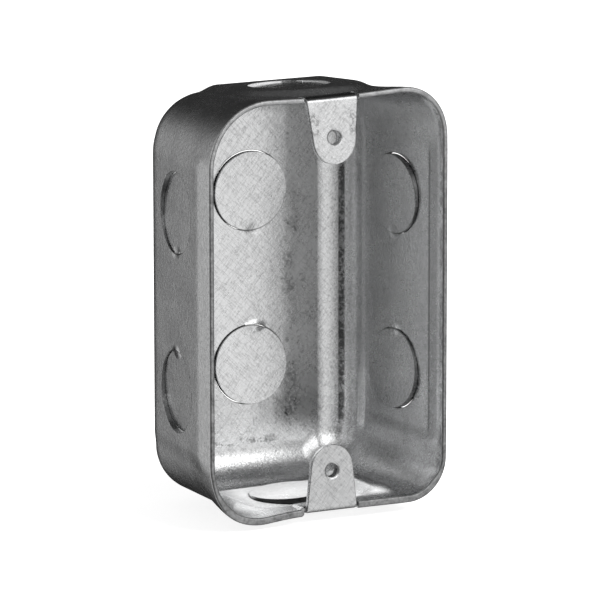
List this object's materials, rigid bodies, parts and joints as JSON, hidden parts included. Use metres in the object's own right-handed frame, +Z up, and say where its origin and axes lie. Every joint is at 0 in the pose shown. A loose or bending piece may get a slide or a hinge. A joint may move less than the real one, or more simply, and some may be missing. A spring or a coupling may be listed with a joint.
{
  "type": "electrical wall box",
  "caption": "Drawn steel wall box with rounded corners, round knockouts in every wall and two bent-in screw ears at the open front.",
  "frame": {"origin": "middle of the back's outer face", "axes": "+Z up the wall along the box's longer side, +X to the right, +Y out of the back into the wall; the open front faces -Y"},
  "size_m": [0.0666, 0.047, 0.1083],
  "materials": {
    "galvanised_steel": "dull galvanised sheet, drawn and scuffed"
  },
  "bodies": {
    "root": {"wall_box": "galvanised_steel"}
  },
  "joints": []
}
